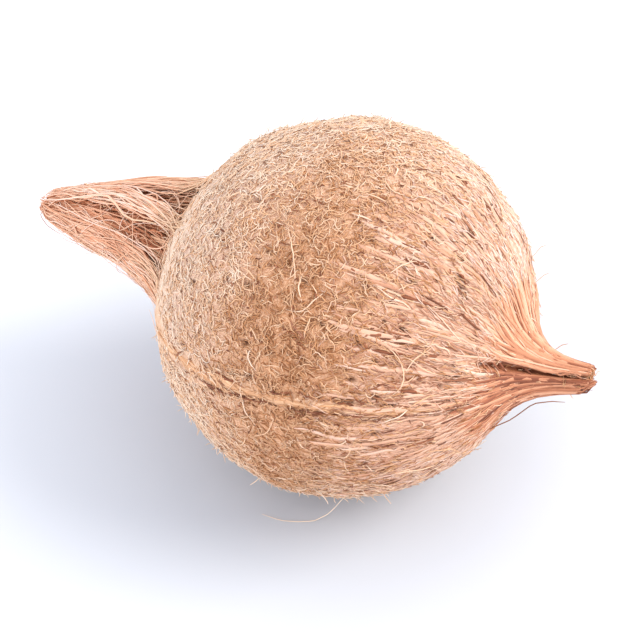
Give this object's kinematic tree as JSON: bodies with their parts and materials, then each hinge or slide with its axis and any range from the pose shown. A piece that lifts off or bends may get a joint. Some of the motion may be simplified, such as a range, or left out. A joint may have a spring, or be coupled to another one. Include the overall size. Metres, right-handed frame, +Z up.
{
  "type": "coconut",
  "caption": "Part-husked dry coconut lying on its side: round fibrous nut with a drawn-out tuft of husk at one end and a short pointed tip at the other.",
  "frame": {"origin": "middle of the small flat spot under the nut, on the surface it rests on", "axes": "+X runs along the nut from the tuft to the pointed tip, +Z points up"},
  "size_m": [0.197, 0.12, 0.1182],
  "materials": {
    "husk": "dry matte coir fibre"
  },
  "bodies": {
    "root": {"coconut": "husk"}
  },
  "joints": []
}
